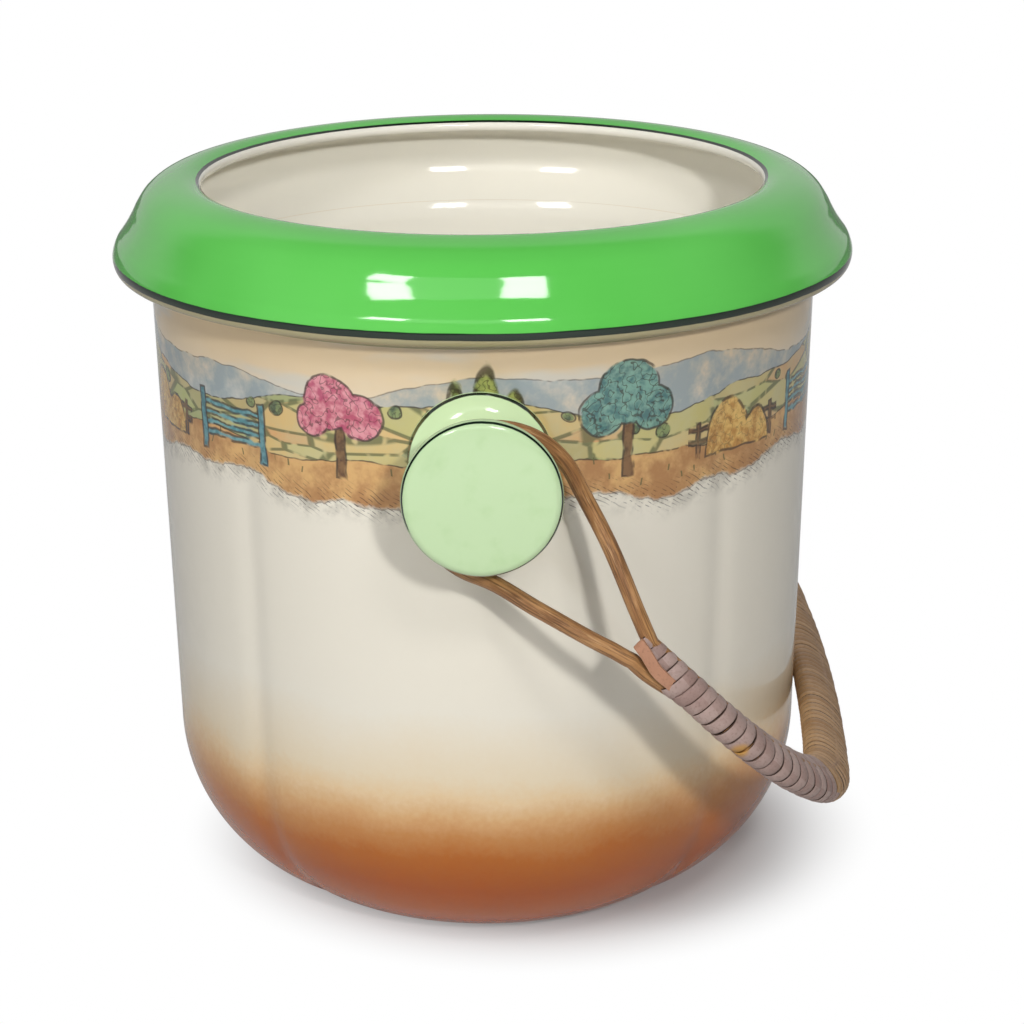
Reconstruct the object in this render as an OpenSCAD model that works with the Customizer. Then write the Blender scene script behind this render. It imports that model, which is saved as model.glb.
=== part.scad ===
// Slop jar: a lobed earthenware pail with a domed collar, two spool knobs and a wrapped cane bail.
// Millimetres, +Z up. The origin is the centre of the foot on the table. The knobs stand on the
// Y axis, the front one at -Y, and the bail hangs at rest on the +X side against the wall.

/* [Pail] */
// Radius of the wall at the middle of a lobe, carried down to the table
base_r = 123.5; // [112:0.5:135]
// Outward lean of the wall in degrees
wall_lean = 1.6; // [0.4:0.1:3]
// Height of the shoulder that carries the collar
shoulder_z = 252; // [236:1:275]
// Radius of the rounded heel
heel_r = 70; // [56:1:80]
// Thickness of the wall at the creases between the lobes
wall_t = 5.5; // [4:0.1:8]
// Thickness of the floor
floor_t = 9; // [7:0.5:14]
// Distance of each lobe's own axis from the axis of the pail
lobe_shift = 9; // [5:0.5:12]
// Height over which the creases die out under the shoulder
crease_fade = 34; // [20:1:60]
// Radius of the recess under the foot
foot_recess_r = 38; // [20:1:44]
// Depth of the recess under the foot
foot_recess_h = 3; // [1:0.5:5]

/* [Collar] */
// Radius of the mouth
mouth_r = 111; // [104:0.5:114]
// Height of the collar's crest above the shoulder
collar_h = 38.5; // [35:0.5:44]
// Radius of the collar's domed crown
crown_r = 25.2; // [23:0.1:26]
// Thickness of the collar
collar_t = 7.5; // [6:0.1:8.5]
// Largest radius of the out-turned lip
lip_r = 145.2; // [142:0.1:150]
// Radius of the rolled edge of the lip
lip_roll = 4.8; // [4:0.1:5.4]

/* [Knobs] */
// Height of the knobs and of the bail's hinge above the table
knob_z = 207.9; // [195:0.1:220]
// Radius of the knob's face
knob_face_r = 28.8; // [26:0.1:32]
// Thickness of the knob's face
knob_face_t = 7.2; // [5:0.1:9]
// Height of the dome on the knob's face
knob_dome = 1; // [0.5:0.1:2]
// Depth of the tapered back of the knob's face
knob_back = 4.5; // [3:0.1:7]
// Radius of the neck that carries the cane
neck_r = 15.8; // [13:0.1:18]
// Length of the straight neck
neck_l = 11; // [9.5:0.5:18]
// Radius of the knob's flange on the wall
flange_r = 28; // [24:0.5:30]
// Straight edge of the flange outside the wall
flange_t = 2.5; // [2:0.1:6]
// Joint of slip between a knob and the wall
slip_joint = 0.1; // [0.05:0.05:0.3]

/* [Bail] */
// Radius of the cane rods
cane_r = 3; // [2.5:0.1:3.6]
// Radius of the loop that the cane makes round a neck, at the middle of the rod
loop_r = 29; // [26:0.1:32]
// Play between the loop and the neck
neck_play = 0.4; // [0.3:0.1:1]
// How far a loop sags across the bail's plane on its neck
loop_sag = 0.8; // [0:0.1:3]
// Distance from the hinge to the throat, where the two strands come together
throat_s = 78; // [72:1:92]
// Distance from the hinge to the middle of the grip
bail_reach = 189; // [184:1:206]
// How far the legs stand outside the lip
leg_spread = 27.5; // [22:0.5:34]
// How far the middle of the grip bows out beyond its shoulders
grip_bow = 5.6; // [4:0.1:10]
// Radius of the bail's two shoulders
shoulder_bend = 72; // [62:1:78]
// Radius of the packing canes
packing_r = 3.6; // [3:0.05:4.4]
// Distance from a throat to the skived end of a packing cane
packing_start = 12; // [8:1:24]
// Length over which a packing cane is skived down
skive_l = 48; // [24:1:70]
// Gap left between canes that lie side by side
lay_gap = 0.2; // [0.15:0.05:0.4]
// Gap between the grip at rest and the wall
rest_gap = 0.4; // [0.3:0.1:2]

/* [Binding] */
// Width of the split-cane binding
strip_w = 3.5; // [2.8:0.1:3.6]
// Thickness of the split-cane binding
strip_t = 0.9; // [0.6:0.1:1.2]
// Distance from one turn to the next
turn_pitch = 5; // [4.9:0.05:6]
// Play between the binding and the canes
strip_play = 0.15; // [0.1:0.05:0.3]
// Distance along the grip from the front throat to the change of binding
binding_change = 110; // [60:1:200]
// Bare grip left at each throat
bare_l = 2.5; // [2:0.5:6]
// Length of a locking slip
slip_l = 18; // [14:1:26]
// Distance from a throat to the slip's end on the grip
slip_to = 10; // [7:0.5:11]
// Width of a locking slip
slip_w = 4.8; // [3:0.1:6]
// Thickness of a locking slip
slip_t = 0.9; // [0.6:0.1:1.4]

/* [Hidden] */
$fn = 96;
eps = 0.01;

// Pail: one lobe faces each knob and each side
lobes = 4;
half_lobe = 180 / lobes;
lean_slope = tan(wall_lean);
neck_inset = 1;
crease_in = lobe_shift * (1 - cos(half_lobe));
function wall_r(z) = base_r + lean_slope * z;
shoulder_r = wall_r(shoulder_z);
cavity_r = base_r - crease_in - wall_t;
seat_in_r = cavity_r + lean_slope * shoulder_z;

// Collar: crown centre, lip centre, and the turn at which a straight flare joins their two rounds
crest_z = shoulder_z + collar_h;
mouth_roll = collar_t / 2;
crown_x = mouth_r + mouth_roll;
crown_z = crest_z - crown_r;
lip_x = lip_r - lip_roll;
lip_z = crown_z - lip_roll;
flare_far = norm([lip_x - crown_x, lip_roll]);
flare_lean = acos(min((crown_r - lip_roll) / flare_far, 1)) - atan2(lip_roll, lip_x - crown_x);
// A lip that stands under the crown has no tangent, and the flare then leaves from the foot of the crown
flare_foot = 4;
flare_turn = max(flare_lean, flare_foot);
flare_bite = 0.1;
function flare_end(x, z, r) = [x + (r - flare_bite) * cos(flare_turn), z + (r - flare_bite) * sin(flare_turn)];

// Knobs: distances from the pail's axis
knob_seat = wall_r(knob_z);
cove_r = flange_r + eps - neck_r;
neck_from = knob_seat + flange_t + cove_r;
neck_to = neck_from + neck_l;
face_from = neck_to + knob_back;
face_to = face_from + knob_face_t;
face_roll = knob_face_t / 2;
dome_x = knob_face_r - face_roll;
dome_r = (dome_x * dome_x + knob_dome * knob_dome) / (2 * knob_dome);

// Bail: a three-centred arch in its own plane, s from the hinge, y along the hinge, n across
half_w = lip_r + leg_spread;
arch_rise = shoulder_bend + grip_bow;
arch_s = bail_reach - arch_rise;
leg_l = arch_s - throat_s;
arch_run = half_w - shoulder_bend;
crown_bend = (arch_rise * arch_rise + arch_run * arch_run - shoulder_bend * shoulder_bend)
             / (2 * grip_bow);
crown_half = atan2(arch_run, crown_bend - arch_rise);
side_turn = 90 - crown_half;
side_l = shoulder_bend * side_turn * PI / 180;
crown_l = crown_bend * 2 * crown_half * PI / 180;
grip_l = 2 * leg_l + 2 * side_l + crown_l;

// A point of the arch at length l from the front throat: s, y and heading
function arc_at(cs, cy, r, turn) = [cs + r * sin(turn), cy - r * cos(turn), turn];
function arch(l) =
    l < leg_l ? [throat_s + l, -half_w, 0] :
    l < leg_l + side_l ? arc_at(arch_s, shoulder_bend - half_w, shoulder_bend,
                                (l - leg_l) / shoulder_bend * 180 / PI) :
    l < leg_l + side_l + crown_l ? arc_at(bail_reach - crown_bend, 0, crown_bend,
                                          side_turn + (l - leg_l - side_l) / crown_bend * 180 / PI) :
    l < leg_l + 2 * side_l + crown_l ? arc_at(arch_s, half_w - shoulder_bend, shoulder_bend,
        180 - side_turn + (l - leg_l - side_l - crown_l) / shoulder_bend * 180 / PI) :
    [throat_s + grip_l - l, half_w, 180];
// The same point moved out in the bail's plane and across it
function on_grip(l, out, across) = let (a = arch(l))
    [a[0] + out * sin(a[2]), a[1] - out * cos(a[2]), across];
function grip_dir(l) = let (a = arch(l)) [cos(a[2]), sin(a[2]), 0];
function grip_out(l) = let (a = arch(l)) [sin(a[2]), -cos(a[2]), 0];

// The grip's bundle: two strands across the plane, a packing cane inside and one outside
strand_n = cane_r + lay_gap / 2;
function ramp(t) = min(max(t, 0), 1);
skive_share = 0.35;
function packing_at(l) = let (t = ramp((min(l, grip_l - l) - packing_start) / skive_l))
    packing_r * (skive_share + (1 - skive_share) * t);
function packing_out(r) = sqrt(pow(cane_r + r + lay_gap, 2) - pow(strand_n, 2));
// Reach of the bundle out in the plane, at 45 degrees, and across
function swell(l, strand, packed) = strand + (packed - strand) * ramp(min(l, grip_l - l) / packing_start);
function bundle_out(l) = swell(l, cane_r, packing_out(packing_at(l)) + packing_at(l));
function bundle_diag(l) = let (strand = strand_n * sqrt(0.5) + cane_r)
    swell(l, strand, max(strand, packing_out(packing_at(l)) * sqrt(0.5) + packing_at(l)));
bundle_across = strand_n + cane_r;

// The bail comes to rest where the middle of the grip meets the wall: six passes from 45 degrees
grip_half = bundle_diag(grip_l / 2) + strip_play + strip_t;
function rest_turn(t, n) = n == 0 ? t :
    rest_turn(acos((wall_r(knob_z - bail_reach * sin(t)) + rest_gap + grip_half) / bail_reach), n - 1);
rest_drop = rest_turn(45, 6);

// Loop round the neck and the V that runs from it to the throat
loop_hang = loop_r - cane_r - neck_r - neck_play;
loop_s = sqrt(loop_hang * loop_hang - loop_sag * loop_sag);
loop_y = (neck_from + neck_to) / 2;
throat_far = norm([throat_s - loop_s, strand_n]);
loop_from = atan2(strand_n, throat_s - loop_s) + acos(loop_r / throat_far);
flare_after = 16;
flare_s = loop_s + flare_after;
function smooth(t) = let (u = ramp(t)) u * u * (3 - 2 * u);
function flare_y(s) = -loop_y - (half_w - loop_y) * smooth((s - flare_s) / (throat_s - flare_s));
function sag_n(s) = -loop_sag * ramp((throat_s - s) / (throat_s - loop_s));

// Sections: unit vectors, a frame carried along a line of points, and a tube of triangles
function unit(v) = v / norm(v);
function ways(p) = let (m = len(p) - 1)
    [for (i = [0 : m]) unit(p[min(i + 1, m)] - p[max(i - 1, 0)])];
function square_to(v, t) = unit(v - (v * t) * t);
function carried(t, start) =
    [for (i = 0, v = square_to(start, t[0]); i < len(t); i = i + 1,
          v = i < len(t) ? square_to(v, t[i]) : v) v];
function side_faces(rings, sides) =
    [for (i = [0 : rings - 2], j = [0 : sides - 1]) let (a = i * sides + j, b = i * sides + (j + 1) % sides)
        each [[a, b, b + sides], [a, b + sides, a + sides]]];
function cap_faces(rings, sides) = let (last = (rings - 1) * sides)
    [for (j = [1 : sides - 2]) each [[0, j + 1, j], [last, last + j, last + j + 1]]];

module skin(points, rings, sides) {
    polyhedron(points, concat(side_faces(rings, sides), cap_faces(rings, sides)));
}

// A round rod along a line of points, with a radius for each point
module rod(path, radii, start, sides = 10) {
    t = ways(path);
    v = carried(t, start);
    points = [for (i = [0 : len(path) - 1], j = [0 : sides - 1])
        let (w = cross(t[i], v[i]), a = 360 * j / sides)
        path[i] + radii[i] * (cos(a) * v[i] + sin(a) * w)];
    skin(points, len(path), sides);
}

module in_bail() {
    translate([0, 0, knob_z]) rotate([0, rest_drop, 0]) children();
}

// Half section of the pail: floor, rounded heel and leaning wall
module pail_section(foot_r, heel, low, high) {
    heel_x = foot_r + lean_slope * (low + heel) - heel / cos(wall_lean);
    meet = [heel_x + heel * cos(wall_lean), low + heel - heel * sin(wall_lean)];
    polygon([[0, low], [heel_x, low], meet, [foot_r + lean_slope * high, high], [0, high]]);
    intersection() {
        translate([heel_x, low + heel]) circle(heel);
        translate([heel_x, low]) square([heel, heel]);
    }
}

// One whole lobe, turned about its own axis
module lobe(grow = 0) {
    translate([lobe_shift, 0, 0])
        rotate_extrude()
            pail_section(base_r - lobe_shift + grow, heel_r, 0, shoulder_z);
}

// The quarter of space that belongs to one lobe
module lobe_quarter() {
    far_x = 2 * base_r * cos(half_lobe);
    far_y = 2 * base_r * sin(half_lobe);
    translate([0, 0, -1])
        linear_extrude(shoulder_z + 2)
            polygon([[0, 0], [far_x, -far_y], [far_x, far_y]]);
}

module jar_body() {
    color("ivory")
    difference() {
        union() {
            for (i = [0 : lobes - 1])
                rotate([0, 0, 360 / lobes * i])
                    intersection() {
                        lobe();
                        lobe_quarter();
                    }
            translate([0, 0, shoulder_z - crease_fade])
                cylinder(h = crease_fade, r1 = wall_r(shoulder_z - crease_fade) - crease_in - neck_inset,
                         r2 = shoulder_r);
        }
        rotate_extrude() pail_section(cavity_r, heel_r - wall_t, floor_t, shoulder_z + 1);
        translate([0, 0, -1]) cylinder(h = foot_recess_h + 1, r = foot_recess_r);
    }
}

module rim_collar() {
    color("limegreen")
    rotate_extrude() {
        // Domed crown
        intersection() {
            translate([crown_x, crown_z])
                difference() {
                    circle(crown_r);
                    circle(crown_r - collar_t);
                }
            translate([crown_x, crown_z]) square(crown_r);
        }
        // Rolled edges of the mouth and the lip
        translate([crown_x, crest_z - mouth_roll]) circle(mouth_roll);
        translate([lip_x, lip_z]) circle(lip_roll);
        // Skirt from the crown to the shoulder, with a straight flare from the crown down to the lip
        polygon([[seat_in_r, shoulder_z], [shoulder_r, shoulder_z], [lip_x, lip_z - lip_roll],
                 flare_end(lip_x, lip_z, lip_roll), flare_end(crown_x, crown_z, crown_r),
                 flare_end(crown_x, crown_z, crown_r - collar_t / 2),
                 [crown_x + crown_r - collar_t, crown_z], [seat_in_r, shoulder_z + collar_t]]);
    }
}

// Spool section: radius across, distance from the pail's axis up
module knob_section() {
    difference() {
        translate([0, knob_seat - flange_r]) square([flange_r, flange_r + flange_t + cove_r]);
        translate([neck_r + cove_r, neck_from]) circle(cove_r);
    }
    translate([0, neck_from - eps]) square([neck_r, neck_l + knob_back]);
    polygon([[0, neck_to], [neck_r, neck_to], [dome_x, face_from], [0, face_from]]);
    translate([0, face_from]) square([dome_x, knob_face_t]);
    translate([dome_x, face_from + face_roll]) circle(face_roll);
    intersection() {
        translate([0, face_to + knob_dome - dome_r]) circle(dome_r);
        translate([0, face_to]) square([dome_x, 2 * knob_dome]);
    }
}

module knob() {
    color("palegreen")
    difference() {
        translate([0, 0, knob_z]) rotate([90, 0, 0]) rotate_extrude() knob_section();
        rotate([0, 0, -90]) lobe(slip_joint);
    }
}

module front_knob() { knob(); }

module back_knob() { mirror([0, 1, 0]) knob(); }

// One rod bent to a hairpin: along the grip, round the neck and back along the grip
leg_rings = 22;
v_rings = 7;
loop_rings = 16;
hairpin_to = grip_l / 2 - lay_gap / 2;
function leg_points(side) = [for (i = [0 : leg_rings])
    on_grip(hairpin_to * i / leg_rings, 0, side * strand_n)];
function v_points(side) = let (from = [throat_s, strand_n],
                               to = [loop_s + loop_r * cos(loop_from), loop_r * sin(loop_from)])
    [for (i = [1 : v_rings]) let (p = from + (to - from) * i / (v_rings + 1))
        [p[0], flare_y(p[0]), side * p[1] + sag_n(p[0])]];
function loop_points() = [for (i = [0 : loop_rings])
    let (a = loop_from + (360 - 2 * loop_from) * i / loop_rings, s = loop_s + loop_r * cos(a))
    [s, flare_y(s), loop_r * sin(a) + sag_n(s)]];
function backwards(p) = [for (i = [len(p) - 1 : -1 : 0]) p[i]];
hairpin = concat(backwards(leg_points(1)), v_points(1), loop_points(),
                 backwards(v_points(-1)), leg_points(-1));

module cane_hairpin() {
    color("peru") in_bail() rod(hairpin, [for (p = hairpin) cane_r], [0, 0, 1]);
}

module front_cane() { cane_hairpin(); }

module back_cane() { mirror([0, 1, 0]) cane_hairpin(); }

// A packing cane on the outside or the inside of the bend, skived to a taper at both ends
packing_rings = 40;
module packing_cane(side) {
    run = [for (i = [0 : packing_rings]) packing_start + (grip_l - 2 * packing_start) * i / packing_rings];
    path = [for (l = run) on_grip(l, side * packing_out(packing_at(l)), 0)];
    color("sandybrown") in_bail() rod(path, [for (l = run) packing_at(l)], [0, 0, 1]);
}

module inner_packing_cane() { packing_cane(-1); }

module outer_packing_cane() { packing_cane(1); }

// Binding: eight corners to a turn, each where two flats of the taut strip meet
turn_rings = 8;
function strip_lift() = strip_play + strip_t / 2;
function corner(k, l) =
    let (h0 = bundle_out(l) + strip_lift(), h45 = (bundle_diag(l) + strip_lift()) * sqrt(2),
         h90 = bundle_across + strip_lift(),
         broad = [h0, h45 - h0], flat = [h45 - h90, h90], quarter = floor(k / 2) % 4, early = k % 2 == 0)
    quarter == 0 ? (early ? broad : flat) :
    quarter == 1 ? (early ? [-flat[0], flat[1]] : [-broad[0], broad[1]]) :
    quarter == 2 ? (early ? -broad : -flat) :
    (early ? [flat[0], -flat[1]] : [broad[0], -broad[1]]);
function strip_l(i, from) = from + i * turn_pitch / turn_rings;
function strip_mid(i, from) = let (l = strip_l(i, from), c = corner(i, l)) on_grip(l, c[0], c[1]);
function strip_up(i, from) = let (l = strip_l(i, from), a = 22.5 + 45 * i)
    cos(a) * grip_out(l) + sin(a) * [0, 0, 1];
function strip_ring(i, from) =
    let (m = strip_mid(i, from), w = strip_w / 2 * grip_dir(strip_l(i, from)),
         u = strip_t / 2 / cos(22.5) * strip_up(i, from))
    [m - w - u, m + w - u, m + w + u, m - w + u];
// Least gap between one turn and the next, from edge to edge at each corner
function turn_gap(from, rings) = min([for (i = [0 : rings - turn_rings - 1])
    let (j = i + turn_rings,
         a = strip_mid(i, from) + strip_w / 2 * grip_dir(strip_l(i, from)),
         b = strip_mid(j, from) - strip_w / 2 * grip_dir(strip_l(j, from)))
    norm(b - a)]);

module binding(from, turns) {
    rings = turns * turn_rings;
    echo(turns = turns, least_gap = turn_gap(from, rings));
    points = [for (i = [0 : rings - 1]) each strip_ring(i, from)];
    in_bail() skin(points, rings, 4);
}

front_from = bare_l + strip_w / 2;
front_turns = floor((binding_change - front_from) / turn_pitch);
back_from = front_from + front_turns * turn_pitch;
back_turns = floor((grip_l - front_from - back_from) / turn_pitch);

module front_binding() { color("rosybrown") binding(front_from, front_turns); }

module back_binding() { color("tan") binding(back_from, back_turns); }

// A flat slip laid along the grip at the throat, on the face away from the pail
module locking_slip() {
    face = bundle_out(slip_to) + 2 * strip_play + strip_t;
    color("chocolate") in_bail()
        translate([throat_s + slip_to - slip_l, -half_w - face - slip_t, -slip_w])
            cube([slip_l, slip_t, slip_w]);
}

module front_locking_slip() { locking_slip(); }

module back_locking_slip() { mirror([0, 1, 0]) locking_slip(); }

jar_body();
rim_collar();
front_knob();
back_knob();
front_cane();
back_cane();
inner_packing_cane();
outer_packing_cane();
front_binding();
back_binding();
front_locking_slip();
back_locking_slip();
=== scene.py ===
import math

import bmesh
import bpy
import numpy as np
from mathutils import Matrix, Vector


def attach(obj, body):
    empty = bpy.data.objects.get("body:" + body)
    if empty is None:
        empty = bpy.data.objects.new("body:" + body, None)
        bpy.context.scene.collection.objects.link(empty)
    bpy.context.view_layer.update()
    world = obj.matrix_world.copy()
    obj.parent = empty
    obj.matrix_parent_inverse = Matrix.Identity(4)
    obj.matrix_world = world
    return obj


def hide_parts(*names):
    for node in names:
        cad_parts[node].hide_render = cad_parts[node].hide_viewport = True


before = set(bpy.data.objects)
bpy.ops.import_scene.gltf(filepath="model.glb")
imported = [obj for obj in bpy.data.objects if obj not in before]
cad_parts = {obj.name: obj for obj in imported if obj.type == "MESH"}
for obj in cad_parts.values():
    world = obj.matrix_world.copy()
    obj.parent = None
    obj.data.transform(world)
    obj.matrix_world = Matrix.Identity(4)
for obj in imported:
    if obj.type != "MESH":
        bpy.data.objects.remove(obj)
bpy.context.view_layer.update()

# Jar body
# An earthenware pail, thrown round and pressed into four soft lobes with a crease between each two.
# It is dipped in cream glaze, its heel is sprayed orange-brown, and a frieze is drawn and washed round it.
MM = 0.001
BASE_R = 123.5
WALL_LEAN = math.radians(1.6)
SHOULDER_Z = 252.0
HEEL_R = 70.0
LOBE_SHIFT = 9.0
CREASE_SOFT = math.radians(1.2)
CREASE_W = math.radians(2.6)
CREASE_CUT = 0.8
CREASE_FADE = (212.0, 249.0)
CAVITY_R = 115.4
FLOOR_Z = 9.0
CAVITY_HEEL_R = 64.5
FOOT_RECESS_R = 38.0
FOOT_RECESS_H = 3.0
FOOT_FADE = 14.0
HOLLOW_R = 133.6
HOLLOW_FROM = 244.2
HOLLOW_TO = 270.5
AROUND = 288


def smooth(low, high, value):
    share = min(max((value - low) / (high - low), 0.0), 1.0)
    return share * share * (3 - 2 * share)


def inside_r(z):
    """Radius of the pail's inside, which swells into the hollow of the collar."""
    wall = CAVITY_R + math.tan(WALL_LEAN) * z
    return wall + (HOLLOW_R - wall) * smooth(HOLLOW_FROM, HOLLOW_TO, z)


def lobe_r(turn, radius, depth):
    """Radius at a turn round the pail, from the radius in the middle of a lobe."""
    quarter = math.pi / 2
    off = abs((turn + quarter / 2) % quarter - quarter / 2)
    from_crease = quarter / 2 - off
    off = quarter / 2 - math.hypot(from_crease, CREASE_SOFT)
    lobe = LOBE_SHIFT * math.cos(off)
    lobe += math.sqrt((radius - LOBE_SHIFT) ** 2 - (LOBE_SHIFT * math.sin(off)) ** 2)
    lobe -= CREASE_CUT * math.exp(-(from_crease / CREASE_W) ** 2)
    return radius + (lobe - radius) * depth


def heel_arc(radius, foot, low, steps):
    """Points of a rounded heel from the floor to the leaning wall."""
    centre = foot + math.tan(WALL_LEAN) * (low + radius) - radius / math.cos(WALL_LEAN)
    turns = np.linspace(-math.pi / 2, -WALL_LEAN, steps)
    return [(centre + radius * math.cos(t), low + radius + radius * math.sin(t)) for t in turns]


def new_mesh(name, points, faces, smooth_below=40.0):
    """A mesh object in millimetres, with faces turned outwards and only hard edges left sharp."""
    mesh = bpy.data.meshes.new(name)
    mesh.from_pydata([Vector(p) * MM for p in points], [], faces)
    work = bmesh.new()
    work.from_mesh(mesh)
    bmesh.ops.recalc_face_normals(work, faces=work.faces)
    work.to_mesh(mesh)
    work.free()
    mesh.shade_smooth()
    mesh.set_sharp_from_angle(angle=math.radians(smooth_below))
    piece = bpy.data.objects.new(name, mesh)
    bpy.context.scene.collection.objects.link(piece)
    return piece


def turned(name, outline, place, around=AROUND, smooth_below=40.0):
    """A closed form turned round an axis: place(turn, radius, height) gives each point."""
    points, rings, faces = [], [], []
    for radius, height in outline:
        count = 1 if radius < 1e-6 else around
        rings.append((len(points), count))
        points += [place(2 * math.pi * i / around, radius, height) for i in range(count)]
    pairs = list(zip(rings, rings[1:]))
    if rings[0][1] > 1:
        pairs.append((rings[-1], rings[0]))
    for (a, many_a), (b, many_b) in pairs:
        for i in range(around):
            j = (i + 1) % around
            low = [a + i, a + j] if many_a > 1 else [a]
            high = [b + j, b + i] if many_b > 1 else [b]
            faces.append(low + high)
    return new_mesh(name, points, faces, smooth_below)


def round_z(turn, radius, height):
    return radius * math.sin(turn), -radius * math.cos(turn), height


def lobed(turn, radius, height):
    if (radius, height) in outside and radius > FOOT_RECESS_R + 1:
        depth = 1 - smooth(*CREASE_FADE, height)
        depth *= smooth(FOOT_RECESS_R, FOOT_RECESS_R + FOOT_FADE, radius)
        radius = lobe_r(turn, radius, depth)
    return round_z(turn, radius, height)


def wall_line(low, high, steps):
    return [(BASE_R + math.tan(WALL_LEAN) * z, z) for z in np.linspace(low, high, steps)]


heel = heel_arc(HEEL_R, BASE_R, 0.0, 40)
cavity_heel = heel_arc(CAVITY_HEEL_R, CAVITY_R, FLOOR_Z, 28)
jar_outline = [(0, FOOT_RECESS_H), (FOOT_RECESS_R - 1.5, FOOT_RECESS_H), (FOOT_RECESS_R, 0.4)]
jar_outline += [(FOOT_RECESS_R + 1, 0.0)] + [(r, 0.0) for r in np.linspace(42, heel[0][0] - 2, 5)] + heel
jar_outline += wall_line(heel[-1][1] + 4, SHOULDER_Z, 48)
shoulder = len(jar_outline)
outside = set(jar_outline)
jar_outline += [(inside_r(z), z) for z in np.linspace(SHOULDER_Z, HOLLOW_FROM, 8)]
jar_outline += [(inside_r(z), z) for z in np.linspace(HOLLOW_FROM - 8, cavity_heel[-1][1] + 6, 16)]
jar_outline += cavity_heel[::-1] + [(0, FLOOR_Z)]
jar = turned("jar", jar_outline, lobed)


def runs_along(outline, zero):
    """Each point's distance along an outline, in millimetres, counted from one of its points."""
    steps = [math.dist(a, b) for a, b in zip(outline, outline[1:])]
    runs = np.concatenate([[0.0], np.cumsum(steps)])
    return runs - runs[zero]


def mark_rings(piece, outline, around, values):
    """Stores one value for each ring of a turned form, for its finish to read."""
    each = np.concatenate([np.full(1 if r < 1e-6 else around, v) for (r, _), v in zip(outline, values)])
    piece.data.attributes.new("run", "FLOAT", "POINT").data.foreach_set("value", each.astype(np.float32))


mark_rings(jar, jar_outline, AROUND, runs_along(jar_outline, shoulder))


class Tint:
    """A socket in a finish's node tree. Sums on it add Math nodes; node() adds any other node."""

    def __init__(self, tree, socket=None):
        self.tree = tree
        self.socket = socket

    def node(self, kind, pins=None, sets=None, out=0):
        made = self.tree.nodes.new(kind)
        for name, value in (sets or {}).items():
            if name == "stops":
                while len(made.color_ramp.elements) < len(value):
                    made.color_ramp.elements.new(1.0)
                for element, (place, colour) in zip(made.color_ramp.elements, value):
                    element.position = place
                    element.color = colour
            else:
                setattr(made, name, value)
        for key, value in (pins or {}).items():
            if isinstance(value, Tint):
                self.tree.links.new(value.socket, made.inputs[key])
            else:
                made.inputs[key].default_value = value
        return Tint(self.tree, made.outputs[out])

    def sum(self, operation, *values):
        return self.node("ShaderNodeMath", dict(enumerate(values)), {"operation": operation})

    def __add__(self, other):
        return self.sum("ADD", self, other)

    __radd__ = __add__

    def __sub__(self, other):
        return self.sum("SUBTRACT", self, other)

    def __rsub__(self, other):
        return self.sum("SUBTRACT", other, self)

    def __mul__(self, other):
        return self.sum("MULTIPLY", self, other)

    __rmul__ = __mul__

    def __truediv__(self, other):
        return self.sum("DIVIDE", self, other)

    def __abs__(self):
        return self.sum("ABSOLUTE", self)

    def sine(self):
        return self.sum("SINE", self)

    def floor(self):
        return self.sum("FLOOR", self)

    def fraction(self):
        return self.sum("FRACT", self)

    def root(self):
        return self.sum("SQRT", self)

    def split(self):
        """The three parts of a vector or a colour."""
        return [self.node("ShaderNodeSeparateXYZ", {0: self}, out=axis) for axis in "XYZ"]

    def least(self, other):
        return self.sum("MINIMUM", self, other)

    def most(self, other):
        return self.sum("MAXIMUM", self, other)

    def ease(self, low, high):
        """0 below low, 1 above high, smooth between; the other way round if low is the larger."""
        pins = {0: self, 1: low, 2: high, 3: 0.0, 4: 1.0}
        if not isinstance(low, Tint) and not isinstance(high, Tint) and low > high:
            pins.update({1: high, 2: low, 3: 1.0, 4: 0.0})
        return self.node("ShaderNodeMapRange", pins, {"interpolation_type": "SMOOTHSTEP"})

    def mix(self, under, over):
        """The colour over laid on the colour under, by this share."""
        return self.node("ShaderNodeMix", {0: self, 6: under, 7: over}, {"data_type": "RGBA"}, 2)

    def place(self, scale):
        """Object coordinates in units of 1 / scale metres."""
        return self.node("ShaderNodeTexCoord", out="Object").scaled(scale)

    def scaled(self, by):
        """A vector with each part multiplied."""
        return self.node("ShaderNodeVectorMath", {0: self, 1: by}, {"operation": "MULTIPLY"})

    def noise(self, scale, detail=2.0, rough=0.5, where=None, out=0):
        """Noise from 0 to 1, about 1 / scale metres across, on Object coordinates."""
        where = where or self.place((1.0, 1.0, 1.0))
        pins = {"Vector": where, "Scale": scale, "Detail": detail, "Roughness": rough}
        return self.node("ShaderNodeTexNoise", pins, out=out)


def colour(red, green, blue):
    """A colour as it looks on a screen, 0 to 255, as linear light."""
    shares = [c / 255 for c in (red, green, blue)]
    return tuple(s / 12.92 if s < 0.04045 else ((s + 0.055) / 1.055) ** 2.4 for s in shares) + (1.0,)


def new_finish(name, rough, ior=1.5):
    """A finish with one plain shader, its roughness and refraction set on the shader's own sockets."""
    finish = bpy.data.materials.new(name)
    finish.use_nodes = True
    shader = finish.node_tree.nodes["Principled BSDF"]
    shader.inputs["Roughness"].default_value = rough
    shader.inputs["IOR"].default_value = ior
    return finish, shader, Tint(finish.node_tree)


def feed(shader, name, tint):
    tint.tree.links.new(tint.socket, shader.inputs[name])


def bump(pen, height, distance, strength=1.0):
    return pen.node("ShaderNodeBump", {"Height": height, "Distance": distance, "Strength": strength})


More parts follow.
